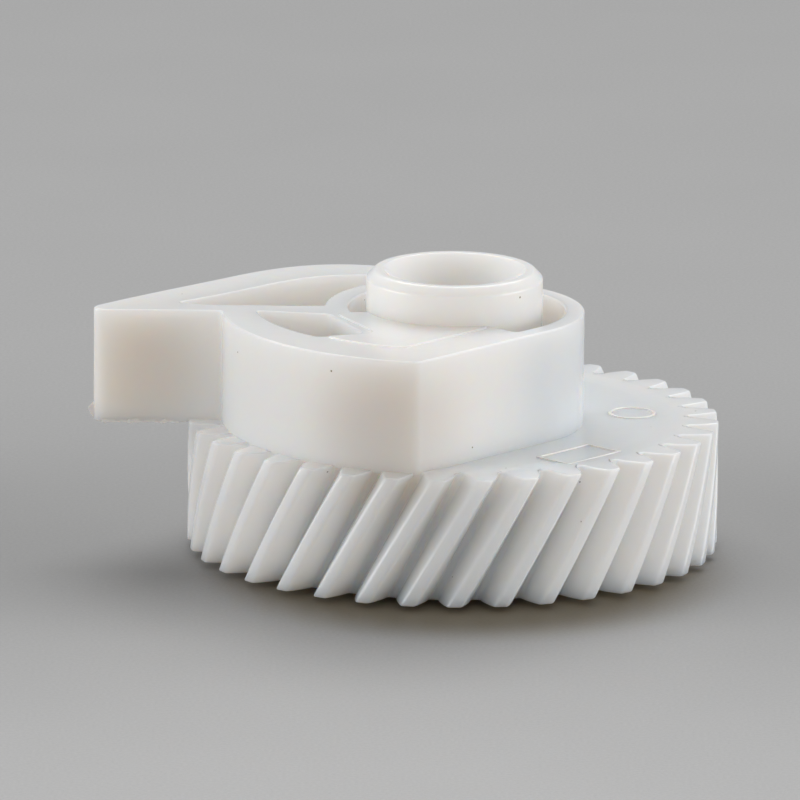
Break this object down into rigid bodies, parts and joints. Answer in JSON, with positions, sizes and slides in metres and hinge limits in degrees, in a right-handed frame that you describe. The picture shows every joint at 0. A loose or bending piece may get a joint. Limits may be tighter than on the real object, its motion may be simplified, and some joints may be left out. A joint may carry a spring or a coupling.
{
  "type": "helical gear with cam",
  "caption": "White moulded helical gear with a raised snail cam, a one-way drop nose, cored pockets and a countersunk hub boss on its bore.",
  "frame": {"origin": "on the gear's axis, at the face of the lower hub", "axes": "+Z along the axis towards the boss, -X towards the cam's nose, -Y is the side that the nose's drop face looks to"},
  "size_m": [0.0419, 0.0356, 0.0191],
  "materials": {
    "acetal": "glossy natural white acetal, as moulded"
  },
  "bodies": {
    "root": {"toothed_rim": "acetal", "gear_web": "acetal", "lower_hub": "acetal", "hub_boss": "acetal", "boss_collar": "acetal", "boss_platform": "acetal", "cam_dwell_wall": "acetal", "cam_flat_wall": "acetal", "cam_base_wall": "acetal", "cam_rise_wall": "acetal", "cam_nose": "acetal", "cam_rib": "acetal", "web_ring_mark": "acetal", "web_frame_mark": "acetal"}
  },
  "joints": []
}
